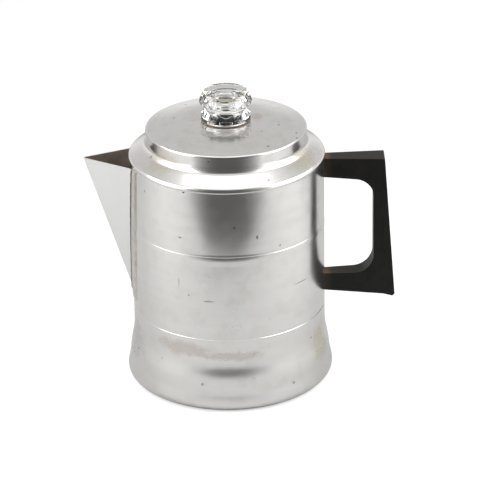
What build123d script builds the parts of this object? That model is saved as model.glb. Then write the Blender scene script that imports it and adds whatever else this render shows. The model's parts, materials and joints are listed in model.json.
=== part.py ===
from build123d import *
import math
import os

# Stove-top coffee percolator, in millimetres.
# The pot's axis is Z, the table is Z = 0, the spout points to -X and the handle to +X.
os.makedirs("parts", exist_ok=True)

# ---------------------------------------------------------------------------
# Driving dimensions
# ---------------------------------------------------------------------------
# Pot shell, spun from one sheet
body_r = 76.0            # outside radius of the straight wall
body_h = 184.0           # table to the top of the straight wall
wall = 1.3               # sheet thickness
flare_h = 41.0           # height of the flared foot
flare_growth = 7.0       # how much wider the flare would be at the table
foot_corner_r = 6.5      # outside rounding at the table
flare_blend_r = 60.0     # soft crease between the flare and the wall
bead_step = 0.8          # how far the shoulder bead stands proud of the wall
bead_rise = 3.2          # height of the bead's straight side
shoulder_corner_r = 3.5  # outside rounding above the bead
shoulder_slope = 30.0    # slope of the shoulder above level, degrees
neck_inset = 14.0        # neck's outside stands this far inside the wall's
neck_h = 11.0            # neck, from where the shoulder's slope would meet it
neck_blend_r = 7.5       # hollow rounding between shoulder and neck
low_groove_rise = 19.3   # lower scribed ring, above the flare
high_groove_drop = 53.1  # upper scribed ring, below the top of the straight wall
groove_width = 0.7
groove_depth = 0.2

# Spout, folded from one sheet with a flange on each side
spout_sheet = 1.0
spout_reach = 35.6       # tip in front of the wall
spout_rise = 0.2         # tip above the top of the straight wall
spout_root_drop = 1.3    # rim at the wall, below the top of the straight wall
spout_foot_gap = 29.5    # lowest point of the fold, above the flare
spout_half_angle = 29.0  # between each panel and the spout's middle plane, degrees
spout_fold_r = 2.2       # outside bend of the fold
flange_width = 6.5       # flange beside the fold, at the rim
flange_low_half = 19.5   # half width of the two flanges at their foot
flange_tail = 1.5        # flanges below the lowest point of the fold
weld_bead = 1.4          # width and height of the weld round the folds
strainer_hole_r = 1.6
strainer_pitch = 8.0
strainer_margin = 4.0    # hole centres stay this far inside the folds

# Handle, moulded in one piece
handle_root_t = 12.5     # thickness at the pot
handle_outer_t = 19.4    # thickness at the heel
handle_drop = 2.2        # top, below the top of the straight wall
handle_foot_gap = 27.6   # lower arm at the pot, above the flare
handle_heel_fall = 3.1   # the lower arm falls this much from the pot to the heel
handle_top_reach = 47.2  # outer edge in front of the wall, at the top
handle_heel_reach = 55.3  # outer edge in front of the wall, at the heel
handle_heel_drop = 1.8   # the heel hangs a little below the lower arm
handle_heel_w = 9.0      # width of the hanging heel
grip_gap = 38.4          # finger room between the wall and the grip
upper_arm_h = 15.8       # height of the upper arm at the pot
upper_arm_fall = 2.7     # its underside drops this much towards the grip
lower_arm_h = 14.3       # height of the lower arm at the pot
lower_arm_rise = 1.2     # its upper side rises this much towards the grip
opening_top_r = 14.5
opening_low_r = 16.0
handle_round = 1.6       # rounding of the handle's long edges
insert_r = 3.4
insert_len = 12.0
screw_r = 2.0
screw_head_r = 3.8
screw_head_h = 2.2
screw_slot = 0.9
screw_tip_gap = 1.0      # the screw ends this far short of its insert's end
washer_r = 5.0
washer_t = 0.8
screw_play = 0.2         # radial play of a screw in the wall and washer
thread_play = 0.05       # radial play of a screw in its insert

# Lid
lid_overhang = 0.8       # lid's edge outside the neck
lid_edge_h = 1.42        # height of the edge under the falling part
lid_sheet = 1.0
lid_seat_gap = 0.3       # between the neck and the lid's rolled edge
lid_slope = 12.0         # fall of the outer part, degrees
lid_flat_margin = 0.2    # flat middle outside the retainer
lid_bend_r = 113.0       # soft bend between the flat middle and the falling part
lid_edge_r = 1.7
lid_hem_h = 1.2          # height of the folded hem
collar_play = 0.5        # radial play of the collar in the neck
collar_sheet = 0.8
collar_bend_r = 1.5
collar_depth = 11.3      # collar below the top of the neck
collar_lap = 9.0         # width of the collar's flange

# Glass knob, its seal and its retainer
gasket_t = 0.8
gasket_play = 0.2        # round the lid's hole
gasket_inset = 0.5       # inside the edge of the glass
knob_play = 0.4          # radial play of the knob's spigot and lugs
knob_rest_gap = 0.1      # between the glass and its seal
knob_base_r = 19.4
knob_base_h = 4.2
knob_waist_r = 14.6
knob_waist_h = 8.8
knob_crown_r = 21.0
knob_crown_h = 14.6
knob_top_r = 17.3
knob_h = 22.6
knob_round = 1.2
knob_bore_r = 9.5
knob_bore_h = 14.5       # height of the hollow above the knob's base
spigot_r = 13.4
lug_reach = 2.8          # lugs outside the spigot
lug_t = 2.0
lug_span = 40.0          # width of each of the two lugs, degrees
lug_gap = 0.3            # between the lugs and the retainer
lug_hole_play = 0.5      # between the lugs and the lid's hole
retainer_t = 1.0
retainer_width = 10.2    # width of the retainer ring
notch_span = 48.0        # width of each notch in the retainer, degrees
notch_turn = 75.0        # turn that brings the lugs to the notches, degrees

# Pump
tube_r = 5.5
tube_wall = 0.8
tube_top_drop = 1.2      # tube ends this far under the lid
pump_sheet = 0.8
pump_floor_gap = 0.4     # between the pump's foot and the pot's floor
pump_foot_r = 32.0
pump_bell_h = 10.5
throat_r = 11.0
throat_h = 5.0
socket_h = 7.0
inlet_width = 7.0
inlet_height = 2.6
inlet_count = 4
cage_t = 0.8
cage_lip_h = 1.6
cage_hole_r = 1.8
cage_hole_ring_r = 4.8
cage_hole_count = 4
valve_play = 1.6         # radial play of the disc in the throat
valve_t = 0.8
valve_gap = 0.1          # between the resting disc and its cage
ferrule_w = 2.1          # width of the ferrule's ring
ferrule_h = 3.0
stop_w = 4.0             # width of the stop's ring
stop_h = 3.0

# Basket and spreader
basket_drop = 26.8       # basket's lip, below the top of the neck
basket_play = 7.5        # radial room between the basket's lip and the collar
basket_gap = 0.3         # between the stop and the basket
basket_sheet = 0.8
basket_taper = 3.0       # the bottom is this much smaller in radius than the top
basket_h = 58.0
basket_corner_r = 5.0
basket_lip = 2.4         # width of the lip
sleeve_play = 0.5        # radial play of the sleeve on the tube
sleeve_sheet = 0.7
sleeve_flange_w = 5.3    # width of the sleeve's flange
sleeve_short = 4.5       # the sleeve ends this far under the basket's lip
perforation_r = 0.8
perforation_pitch = 6.6
perforation_inset = 8.8  # first ring of holes, outside the sleeve
perforation_edge = 6.0   # the last ring stays this far inside the corner
spreader_gap = 0.3
spreader_play = 0.5      # radial play of the spreader's pan in the basket
spreader_dip = 3.0
spreader_hub_play = 0.9  # radial play of the hub on the tube
spreader_hub_h = 4.0

# ---------------------------------------------------------------------------
# Sizes that follow
# ---------------------------------------------------------------------------
far_r = 2 * body_r       # comfortably outside the pot, for cutting tools
inner_r = body_r - wall
bead_r = body_r + bead_step
bead_top_z = body_h + bead_rise
neck_r = body_r - neck_inset
neck_in_r = neck_r - wall
neck_foot_z = bead_top_z + (bead_r - neck_r) * math.tan(math.radians(shoulder_slope))
rim_z = neck_foot_z + neck_h
groove_heights = (flare_h + low_groove_rise, body_h - high_groove_drop)

# The spout's panels meet at a sharp line that the rounded fold stays inside.
spout_tip_z = body_h + spout_rise
spout_root_z = body_h - spout_root_drop
spout_apex_z = flare_h + spout_foot_gap
spout_half = math.radians(spout_half_angle)
spout_tip_x = -(body_r + spout_reach)
spout_sharp_x = spout_tip_x - spout_fold_r * (1 / math.sin(spout_half) - 1)
spout_slant = spout_reach / (spout_tip_z - spout_apex_z)
# Where the panels reach the wall at the rim, as an angle about the pot and a half width.
spout_root_turn = math.asin(-spout_sharp_x * math.sin(spout_half) / body_r) - spout_half
spout_root_half = body_r * math.sin(spout_root_turn)
spout_root_x = -body_r * math.cos(spout_root_turn)
flange_low_z = spout_apex_z - flange_tail
flange_top_half = spout_root_half + flange_width

handle_top_z = body_h - handle_drop
handle_low_z = flare_h + handle_foot_gap
handle_heel_z = handle_low_z - handle_heel_fall
handle_top_x = body_r + handle_top_reach
handle_heel_x = body_r + handle_heel_reach
grip_in_x = body_r + grip_gap
arm_root_x = body_r - wall
screw_heights = (handle_top_z - upper_arm_h / 2, handle_low_z + lower_arm_h / 2)
washer_seat_x = math.sqrt(inner_r**2 - washer_r**2)
head_seat_x = washer_seat_x - washer_t

hem_z = rim_z + lid_seat_gap
lid_r = neck_r + lid_overhang
lid_fall = math.tan(math.radians(lid_slope))
lid_flat_r = spigot_r + knob_play + retainer_width + lid_flat_margin
lid_bend_mid_r = lid_flat_r + lid_bend_r * math.tan(math.radians(lid_slope / 2))
lid_edge_z = hem_z + lid_edge_h
lid_top_z = lid_edge_z + (lid_r - lid_bend_mid_r) * lid_fall
lid_under_z = lid_top_z - lid_sheet
collar_r = neck_in_r - collar_play
lid_upright = lid_sheet / math.cos(math.radians(lid_slope))
collar_corner_z = lid_edge_z + (lid_r - collar_r) * lid_fall - lid_upright
lug_r = spigot_r + lug_reach
lid_hole_r = lug_r + lug_hole_play
knob_z = lid_top_z + gasket_t + knob_rest_gap
retainer_z = lid_under_z - retainer_t
spigot_low_z = retainer_z - lug_gap - lug_t

foot_z = wall + pump_floor_gap
cage_z = foot_z + pump_bell_h
cage_r = throat_r - pump_sheet
throat_top_z = cage_z + throat_h
tube_low_z = throat_top_z - pump_sheet
tube_top_z = lid_under_z - tube_top_drop
socket_r = tube_r + pump_sheet
ferrule_z = throat_top_z + socket_h

basket_top_z = rim_z - basket_drop
basket_z = basket_top_z - basket_h
basket_lip_r = collar_r - collar_sheet - basket_play
basket_top_r = basket_lip_r - basket_lip
basket_low_r = basket_top_r - basket_taper
sleeve_z = basket_z - sleeve_sheet
sleeve_in_r = tube_r + sleeve_play
sleeve_out_r = sleeve_in_r + sleeve_sheet
stop_z = sleeve_z - basket_gap - stop_h
spreader_z = basket_top_z + spreader_gap
hub_r = tube_r + spreader_hub_play
pan_r = basket_top_r - basket_sheet - spreader_play


def spun_sheet(points, radii, thickness, side):
    """Revolve a sheet whose one face follows the rounded outline (radius, height)."""
    with BuildSketch(Plane.XZ) as section:
        with BuildLine():
            FilletPolyline(*points, radius=radii)
            offset(amount=thickness, side=side)
        make_face()
    revolve(section.sketch, axis=Axis.Z)


def ring(inner, outer, low_z, height):
    """Add a plain ring about the pot's axis."""
    with BuildSketch(Plane.XY.offset(low_z)) as section:
        Circle(outer)
        Circle(inner, mode=Mode.SUBTRACT)
    extrude(section.sketch, amount=height)


def finish(piece, name):
    """Label a finished piece and write it."""
    piece.part.label = name
    export_step(piece.part, f"parts/{name}.step")


# ---------------------------------------------------------------------------
# Pot shell
# ---------------------------------------------------------------------------
def strainer_points():
    """Hole centres (y, z) that fill the triangle between the spout's folds."""
    points = []
    rows = int((spout_root_z - spout_apex_z - 3 * strainer_pitch) / strainer_pitch)
    for row in range(rows + 1):
        z = spout_apex_z + (row + 2) * strainer_pitch
        share = (z - spout_apex_z) / (spout_root_z - spout_apex_z)
        half = spout_root_half * share - strainer_margin
        side_count = max(0, int(half / strainer_pitch))
        points += [(k * strainer_pitch, z) for k in range(-side_count, side_count + 1)]
    return points


with BuildPart() as pot_body:
    spun_sheet(
        [
            (0, 0),
            (body_r + flare_growth, 0),
            (body_r, flare_h),
            (body_r, body_h),
            (bead_r, body_h + bead_step),
            (bead_r, bead_top_z),
            (neck_r, neck_foot_z),
            (neck_r, rim_z),
        ],
        [foot_corner_r, flare_blend_r, 0.6, 0.4, shoulder_corner_r, neck_blend_r],
        wall,
        Side.LEFT,
    )
    with BuildSketch(Plane.XZ):
        with Locations(*[(body_r, z) for z in groove_heights]):
            Rectangle(2 * groove_depth, groove_width)
    revolve(axis=Axis.Z, mode=Mode.SUBTRACT)
    with BuildSketch(Plane.YZ.offset(-bead_r)):
        with Locations(*strainer_points()):
            Circle(strainer_hole_r)
    extrude(amount=bead_r - inner_r + wall * 3, mode=Mode.SUBTRACT)
    with BuildSketch(Plane.YZ.offset(inner_r - wall)):
        with Locations(*[(0, z) for z in screw_heights]):
            Circle(screw_r + screw_play)
    extrude(amount=3 * wall, mode=Mode.SUBTRACT)
finish(pot_body, "pot_body")

# ---------------------------------------------------------------------------
# Spout
# ---------------------------------------------------------------------------
spout_back_x = -(body_r - 20)
spout_draw_z = spout_tip_z + 10
spout_draw_h = spout_draw_z - spout_apex_z + 20
rim_plane = Plane(
    origin=(spout_tip_x, 0, spout_tip_z),
    x_dir=(0, 1, 0),
    z_dir=(spout_tip_z - spout_root_z, 0, spout_root_x - spout_tip_x),
)


def spout_wedge(grow, mode):
    """Add or cut the V of the spout, grown outward by a horizontal amount."""
    tip_x = spout_sharp_x - spout_slant * (spout_draw_z - spout_tip_z)
    half = (spout_back_x - tip_x) * math.tan(spout_half)
    with BuildSketch(Plane.XY.offset(spout_draw_z)) as wedge:
        Polygon((tip_x, 0), (spout_back_x, half), (spout_back_x, -half), align=None)
        fillet(wedge.vertices().sort_by(Axis.X)[0], spout_fold_r)
        if grow:
            offset(amount=grow)
    fall = Vector(spout_slant, 0, -1)
    extrude(wedge.sketch, amount=spout_draw_h * fall.length, dir=fall, mode=mode)


def trim_at_rim():
    """Remove everything above the spout's sloping rim."""
    split(bisect_by=rim_plane, keep=Keep.BOTTOM)


with BuildPart() as spout:
    ring(body_r, body_r + spout_sheet, flange_low_z, spout_draw_z - flange_low_z)
    with BuildSketch(Plane.YZ) as flange_outline:
        Polygon(
            (-flange_low_half, flange_low_z),
            (flange_low_half, flange_low_z),
            (flange_top_half, spout_root_z),
            (flange_top_half, spout_draw_z),
            (-flange_top_half, spout_draw_z),
            (-flange_top_half, spout_root_z),
            align=None,
        )
    extrude(amount=-far_r, mode=Mode.INTERSECT)
    spout_wedge(0, Mode.ADD)
    with BuildSketch(Plane.XY.offset(flange_low_z - far_r)):
        Circle(body_r)
    extrude(amount=2 * far_r, mode=Mode.SUBTRACT)
    spout_wedge(-spout_sheet, Mode.SUBTRACT)
    trim_at_rim()
finish(spout, "spout")

with BuildPart() as spout_weld:
    ring(
        body_r + spout_sheet,
        body_r + spout_sheet + weld_bead,
        flange_low_z + weld_bead / 2,
        spout_draw_z - flange_low_z,
    )
    spout_wedge(weld_bead, Mode.INTERSECT)
    spout_wedge(0, Mode.SUBTRACT)
    trim_at_rim()
finish(spout_weld, "spout_weld")

# ---------------------------------------------------------------------------
# Handle and its fastenings
# ---------------------------------------------------------------------------
with BuildPart() as handle:
    with BuildSketch(Plane.XZ) as handle_side:
        Polygon(
            (arm_root_x, handle_top_z),
            (handle_top_x, handle_top_z),
            (handle_heel_x, handle_heel_z),
            (handle_heel_x - handle_heel_drop, handle_heel_z - handle_heel_drop),
            (handle_heel_x - handle_heel_w, handle_heel_z),
            (arm_root_x, handle_low_z),
            align=None,
        )
        with BuildLine():
            FilletPolyline(
                (arm_root_x, handle_top_z - upper_arm_h),
                (grip_in_x, handle_top_z - upper_arm_h - upper_arm_fall),
                (grip_in_x, handle_low_z + lower_arm_h + lower_arm_rise),
                (arm_root_x, handle_low_z + lower_arm_h),
                (arm_root_x, handle_top_z - upper_arm_h),
                radius=[0, opening_top_r, opening_low_r, 0],
            )
        make_face(mode=Mode.SUBTRACT)
    extrude(amount=handle_outer_t, both=True)
    with BuildSketch(Plane.XY) as handle_plan:
        Polygon(
            (arm_root_x, -handle_root_t / 2),
            (handle_heel_x, -handle_outer_t / 2),
            (handle_heel_x, handle_outer_t / 2),
            (arm_root_x, handle_root_t / 2),
            align=None,
        )
    extrude(amount=2 * handle_top_z, mode=Mode.INTERSECT)
    for side_face in (handle.faces().sort_by(Axis.Y)[0], handle.faces().sort_by(Axis.Y)[-1]):
        long_edges = side_face.edges().filter_by_position(Axis.X, arm_root_x + 1, far_r)
        fillet(long_edges, handle_round)
    with BuildSketch(Plane.XY):
        Circle(body_r)
    extrude(amount=2 * handle_top_z, mode=Mode.SUBTRACT)
    with BuildSketch(Plane.YZ):
        with Locations(*[(0, z) for z in screw_heights]):
            Circle(insert_r)
    extrude(amount=body_r + insert_len, mode=Mode.SUBTRACT)
finish(handle, "handle")

with BuildPart() as handle_inserts:
    with BuildSketch(Plane.YZ.offset(body_r)):
        with Locations(*[(0, z) for z in screw_heights]):
            Circle(insert_r)
            Circle(screw_r + thread_play, mode=Mode.SUBTRACT)
    extrude(amount=insert_len)
finish(handle_inserts, "handle_inserts")

with BuildPart() as handle_washers:
    with BuildSketch(Plane.YZ.offset(head_seat_x)):
        with Locations(*[(0, z) for z in screw_heights]):
            Circle(washer_r)
            Circle(screw_r + screw_play, mode=Mode.SUBTRACT)
    extrude(amount=washer_t)
finish(handle_washers, "handle_washers")

with BuildPart() as handle_screws:
    with BuildSketch(Plane.YZ.offset(head_seat_x - screw_head_h)):
        with Locations(*[(0, z) for z in screw_heights]):
            Circle(screw_head_r)
    extrude(amount=screw_head_h)
    fillet(handle_screws.edges().group_by(Axis.X)[0], screw_head_h / 3)
    with BuildSketch(Plane.YZ.offset(head_seat_x - screw_head_h)):
        with Locations(*[(0, z) for z in screw_heights]):
            Rectangle(2 * screw_head_r, screw_slot)
    extrude(amount=screw_head_h / 2, mode=Mode.SUBTRACT)
    with BuildSketch(Plane.YZ.offset(head_seat_x)):
        with Locations(*[(0, z) for z in screw_heights]):
            Circle(screw_r)
    extrude(amount=body_r + insert_len - screw_tip_gap - head_seat_x)
finish(handle_screws, "handle_screws")

# ---------------------------------------------------------------------------
# Lid
# ---------------------------------------------------------------------------
with BuildPart() as lid:
    spun_sheet(
        [
            (lid_hole_r, lid_top_z),
            (lid_bend_mid_r, lid_top_z),
            (lid_r, lid_edge_z),
            (lid_r, hem_z),
        ],
        [lid_bend_r, lid_edge_r],
        lid_sheet,
        Side.RIGHT,
    )
    ring(lid_r - 2 * lid_sheet, lid_r - lid_sheet, hem_z, lid_hem_h)
finish(lid, "lid")

with BuildPart() as lid_collar:
    spun_sheet(
        [
            (collar_r - collar_lap, collar_corner_z + collar_lap * lid_fall),
            (collar_r, collar_corner_z),
            (collar_r, rim_z - collar_depth),
        ],
        [collar_bend_r],
        collar_sheet,
        Side.RIGHT,
    )
finish(lid_collar, "lid_collar")

with BuildPart() as knob_gasket:
    ring(lid_hole_r + gasket_play, knob_base_r - gasket_inset, lid_top_z, gasket_t)
finish(knob_gasket, "knob_gasket")


def sector_pair(inner, outer, span, turn, low_z, height, mode):
    """Add or cut two opposite ring sectors, centred on an angle from +X."""
    with BuildSketch(Plane.XY.offset(low_z)) as sectors:
        for middle in (turn, turn + 180):
            start = middle - span / 2
            with BuildLine():
                inside = CenterArc((0, 0), inner, start, span)
                outside = CenterArc((0, 0), outer, start, span)
                Line(inside @ 0, outside @ 0)
                Line(inside @ 1, outside @ 1)
            make_face()
    extrude(sectors.sketch, amount=height, mode=mode)


with BuildPart() as knob_retainer:
    retainer_in_r = spigot_r + knob_play
    ring(retainer_in_r, retainer_in_r + retainer_width, retainer_z, retainer_t)
    sector_pair(
        spigot_r, lug_r + knob_play, notch_span, notch_turn, retainer_z, retainer_t, Mode.SUBTRACT
    )
finish(knob_retainer, "knob_retainer")

# ---------------------------------------------------------------------------
# Glass knob
# ---------------------------------------------------------------------------
with BuildPart() as glass_knob:
    with BuildSketch(Plane.XZ):
        with BuildLine():
            FilletPolyline(
                (0, knob_z + knob_bore_h),
                (knob_bore_r, knob_z + knob_bore_h),
                (knob_bore_r, spigot_low_z),
                (spigot_r, spigot_low_z),
                (spigot_r, knob_z),
                (knob_base_r, knob_z),
                (knob_base_r, knob_z + knob_base_h),
                (knob_waist_r, knob_z + knob_waist_h),
                (knob_crown_r, knob_z + knob_crown_h),
                (knob_top_r, knob_z + knob_h),
                (0, knob_z + knob_h),
                radius=[4.0, 0, 0, 0, 0.8, 2.0, 1.5, 2.0, knob_round],
            )
            Line((0, knob_z + knob_bore_h), (0, knob_z + knob_h))
        make_face()
    revolve(axis=Axis.Z)
    sector_pair(spigot_r - 1, lug_r, lug_span, 0, spigot_low_z, lug_t, Mode.ADD)
finish(glass_knob, "glass_knob")

# ---------------------------------------------------------------------------
# Pump
# ---------------------------------------------------------------------------
with BuildPart() as pump_tube:
    ring(tube_r - tube_wall, tube_r, tube_low_z, tube_top_z - tube_low_z)
finish(pump_tube, "pump_tube")

with BuildPart() as pump_foot:
    spun_sheet(
        [
            (pump_foot_r, foot_z),
            (pump_foot_r - 1, foot_z + 2),
            (throat_r, cage_z),
            (throat_r, throat_top_z),
            (socket_r, throat_top_z),
            (socket_r, ferrule_z),
        ],
        [2.0, 4.0, 1.0, 0],
        pump_sheet,
        Side.LEFT,
    )
    with BuildSketch(Plane.XY.offset(foot_z)):
        with PolarLocations(pump_foot_r, inlet_count, start_angle=45):
            Rectangle(12, inlet_width)
    extrude(amount=inlet_height, mode=Mode.SUBTRACT)
finish(pump_foot, "pump_foot")

with BuildPart() as valve_cage:
    ring(cage_r - cage_t, cage_r, cage_z + cage_t, cage_lip_h)
    with BuildSketch(Plane.XY.offset(cage_z)):
        Circle(cage_r)
        with PolarLocations(cage_hole_ring_r, cage_hole_count):
            Circle(cage_hole_r, mode=Mode.SUBTRACT)
    extrude(amount=cage_t)
finish(valve_cage, "valve_cage")

with BuildPart() as pump_valve:
    with BuildSketch(Plane.XY.offset(cage_z + cage_t + valve_gap)):
        Circle(cage_r - valve_play)
    extrude(amount=valve_t)
    fillet(pump_valve.edges(), valve_t / 4)
finish(pump_valve, "pump_valve")

with BuildPart() as tube_ferrule:
    ring(tube_r, tube_r + ferrule_w, ferrule_z, ferrule_h)
    fillet(tube_ferrule.edges().group_by(Axis.Z)[-1].sort_by(SortBy.RADIUS)[-1], ferrule_w / 2)
finish(tube_ferrule, "tube_ferrule")

with BuildPart() as basket_stop:
    ring(tube_r, tube_r + stop_w, stop_z, stop_h)
finish(basket_stop, "basket_stop")

# ---------------------------------------------------------------------------
# Basket
# ---------------------------------------------------------------------------
def perforate(low_z, last_r):
    """Cut rings of small holes through a level sheet."""
    first_r = sleeve_out_r + perforation_inset
    rings = int((last_r - first_r) / perforation_pitch) + 1
    with BuildSketch(Plane.XY.offset(low_z)) as holes:
        for row in range(rings):
            row_r = first_r + row * perforation_pitch
            count = int(2 * math.pi * row_r / perforation_pitch)
            with PolarLocations(row_r, count):
                Circle(perforation_r)
    extrude(holes.sketch, amount=3 * basket_sheet, mode=Mode.SUBTRACT)


with BuildPart() as basket_shell:
    spun_sheet(
        [
            (sleeve_out_r, basket_z),
            (basket_low_r, basket_z),
            (basket_top_r, basket_top_z - basket_sheet),
            (basket_lip_r, basket_top_z - basket_sheet),
        ],
        [basket_corner_r, 0.4],
        basket_sheet,
        Side.LEFT,
    )
    perforate(basket_z - basket_sheet, basket_low_r - perforation_edge)
finish(basket_shell, "basket_shell")

with BuildPart() as basket_sleeve:
    spun_sheet(
        [
            (sleeve_out_r + sleeve_flange_w, sleeve_z),
            (sleeve_in_r, sleeve_z),
            (sleeve_in_r, basket_top_z - sleeve_short),
        ],
        [0],
        sleeve_sheet,
        Side.RIGHT,
    )
finish(basket_sleeve, "basket_sleeve")

with BuildPart() as spreader_plate:
    spun_sheet(
        [
            (hub_r, spreader_z + spreader_hub_h),
            (hub_r, spreader_z - spreader_dip),
            (pan_r, spreader_z - spreader_dip),
            (pan_r, spreader_z),
            (basket_lip_r, spreader_z),
        ],
        [0.5, 1.0, 0.5],
        basket_sheet,
        Side.LEFT,
    )
    perforate(spreader_z - spreader_dip - basket_sheet, pan_r - perforation_edge)
finish(spreader_plate, "spreader_plate")
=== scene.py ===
"""Looks of a stove-top coffee percolator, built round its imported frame.

Sizes are in millimetres and become metres by MM, apart from the studio's, which are in metres.
"""

import json
import logging
import math
from dataclasses import dataclass
from enum import Enum
from typing import Callable, Optional, Sequence, Union

import bmesh
import bpy
from mathutils import Matrix, Vector, noise

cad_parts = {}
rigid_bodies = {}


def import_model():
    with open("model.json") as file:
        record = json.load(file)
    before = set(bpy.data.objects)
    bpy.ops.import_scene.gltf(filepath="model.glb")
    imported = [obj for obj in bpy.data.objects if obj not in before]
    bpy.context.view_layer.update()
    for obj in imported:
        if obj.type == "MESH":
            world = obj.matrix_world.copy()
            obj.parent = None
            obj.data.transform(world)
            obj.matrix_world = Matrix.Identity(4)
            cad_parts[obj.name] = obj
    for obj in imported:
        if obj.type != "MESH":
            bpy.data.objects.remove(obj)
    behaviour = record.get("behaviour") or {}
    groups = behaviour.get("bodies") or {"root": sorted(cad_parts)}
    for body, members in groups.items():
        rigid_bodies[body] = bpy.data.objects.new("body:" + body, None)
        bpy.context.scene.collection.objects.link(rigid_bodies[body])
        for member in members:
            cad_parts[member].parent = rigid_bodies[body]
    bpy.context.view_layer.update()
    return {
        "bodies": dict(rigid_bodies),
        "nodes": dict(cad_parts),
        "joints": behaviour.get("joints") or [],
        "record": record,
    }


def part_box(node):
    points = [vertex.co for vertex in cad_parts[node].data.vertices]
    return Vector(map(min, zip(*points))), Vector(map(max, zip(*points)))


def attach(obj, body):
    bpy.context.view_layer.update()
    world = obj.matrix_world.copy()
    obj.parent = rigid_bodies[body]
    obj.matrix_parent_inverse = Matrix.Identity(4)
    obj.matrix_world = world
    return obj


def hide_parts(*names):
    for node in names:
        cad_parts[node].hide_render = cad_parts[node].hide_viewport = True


MM = 0.001
Point = tuple[float, float]
Triple = tuple[float, float, float]
Colour = tuple[float, float, float]
Socket = bpy.types.NodeSocket
Value = Union[float, Socket]

log = logging.getLogger("percolator")


class Body(Enum):
    """Moving bodies of the percolator."""

    POT = "pot"
    LID = "lid"
    KNOB = "knob"


class Slot(Enum):
    """Names of finish slots for the rebuilt pieces, which nothing in the script uses."""

    POT = "pot_aluminium"
    SPOUT = "spout_aluminium"
    WELD = "weld"
    HANDLE = "phenolic"
    LID = "lid_aluminium"
    KNOB = "clear_glass"


class Side(Enum):
    """Side of an outline on which a sheet's other face lies."""

    LEFT = 1
    RIGHT = -1


# ---------------------------------------------------------------------------
# Outlines and meshes
# ---------------------------------------------------------------------------
def rounded(points: Sequence[Point], radii: Sequence[float], step: float = 6.0) -> list[Point]:
    """Round the inner corners of an open outline.

    Args:
        points: Corners of the outline.
        radii: One radius for each inner corner, 0 for a sharp one.
        step: Largest turn between neighbouring points of an arc, in degrees.

    Returns:
        The outline with each corner replaced by points along its arc.
    """
    out = [points[0]]
    for before, corner, after, radius in zip(points, points[1:], points[2:], radii):
        here = Vector(corner)
        to_a, to_b = (Vector(before) - here).normalized(), (Vector(after) - here).normalized()
        opening = to_a.angle(to_b)
        if radius <= 0 or opening > math.pi - 1e-4:
            out.append(corner)
            continue
        reach = radius / math.tan(opening / 2)
        centre = here + (to_a + to_b).normalized() * (radius / math.sin(opening / 2))
        start = here + to_a * reach - centre
        turn = start.angle_signed(here + to_b * reach - centre)
        count = max(2, math.ceil(abs(math.degrees(turn)) / step))
        for i in range(count + 1):
            spin = -turn * i / count
            out.append(
                (
                    centre.x + start.x * math.cos(spin) - start.y * math.sin(spin),
                    centre.y + start.x * math.sin(spin) + start.y * math.cos(spin),
                )
            )
    out.append(points[-1])
    return out


def divided(outline: Sequence[Point], longest: float) -> list[Point]:
    """Split long stretches of an outline.

    Args:
        outline: Points of the outline.
        longest: Longest stretch that stays whole.

    Returns:
        The outline with evenly spaced extra points.
    """
    out = [outline[0]]
    for a, b in zip(outline, outline[1:]):
        count = max(1, math.ceil(math.dist(a, b) / longest))
        for i in range(1, count + 1):
            out.append((a[0] + (b[0] - a[0]) * i / count, a[1] + (b[1] - a[1]) * i / count))
    return out


def sheet_outline(outline: Sequence[Point], thickness: float, side: Side) -> list[Point]:
    """Close an outline into the section of a sheet.

    Args:
        outline: Points along one face of the sheet.
        thickness: Thickness of the sheet.
        side: Side of the outline on which the other face lies.

    Returns:
        A closed loop: the outline, then the other face back to its start.
    """
    other = []
    for i, point in enumerate(outline):
        a = Vector(outline[max(0, i - 1)])
        b = Vector(outline[min(len(outline) - 1, i + 1)])
        along = (b - a).normalized()
        before = (Vector(point) - a).normalized() if i else along
        after = (b - Vector(point)).normalized() if i < len(outline) - 1 else along
        stretch = 1 / max(0.4, math.cos(before.angle(after, 0.0) / 2))
        across = Vector((-along.y, along.x)) * side.value * thickness * stretch
        other.append((max(0.0, point[0] + across.x), point[1] + across.y))
    return list(outline) + other[::-1]


def new_piece(
    name: str, vertices: Sequence[Triple], faces: Sequence[Sequence[int]], crease: float
) -> bpy.types.Object:
    """Make an object from vertices in millimetres.

    Args:
        name: Name of the piece.
        vertices: Vertices in millimetres.
        faces: Vertex numbers of each face.
        crease: Edges that turn more than this many degrees stay sharp.

    Returns:
        The linked object, smooth shaded.
    """
    mesh = bpy.data.meshes.new(name)
    mesh.from_pydata([(x * MM, y * MM, z * MM) for x, y, z in vertices], [], faces)
    piece = bpy.data.objects.new(name, mesh)
    bpy.context.scene.collection.objects.link(piece)
    tidy_mesh(piece, crease)
    return piece


def tidy_mesh(piece: bpy.types.Object, crease: float) -> None:
    """Weld doubled vertices, turn faces outward and shade smooth up to a crease.

    Args:
        piece: Object whose mesh is tidied.
        crease: Edges that turn more than this many degrees stay sharp.
    """
    work = bmesh.new()
    work.from_mesh(piece.data)
    bmesh.ops.remove_doubles(work, verts=work.verts, dist=0.002 * MM)
    bmesh.ops.dissolve_degenerate(work, edges=work.edges, dist=0.001 * MM)
    bmesh.ops.recalc_face_normals(work, faces=work.faces)
    work.to_mesh(piece.data)
    work.free()
    shade_smooth(piece, crease)


def shade_smooth(piece: bpy.types.Object, crease: float) -> None:
    """Shade a piece smooth up to a crease.

    Args:
        piece: Object that is shaded.
        crease: Edges that turn more than this many degrees stay sharp.
    """
    piece.data.polygons.foreach_set("use_smooth", [True] * len(piece.data.polygons))
    piece.data.set_sharp_from_angle(angle=math.radians(crease))


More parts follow.
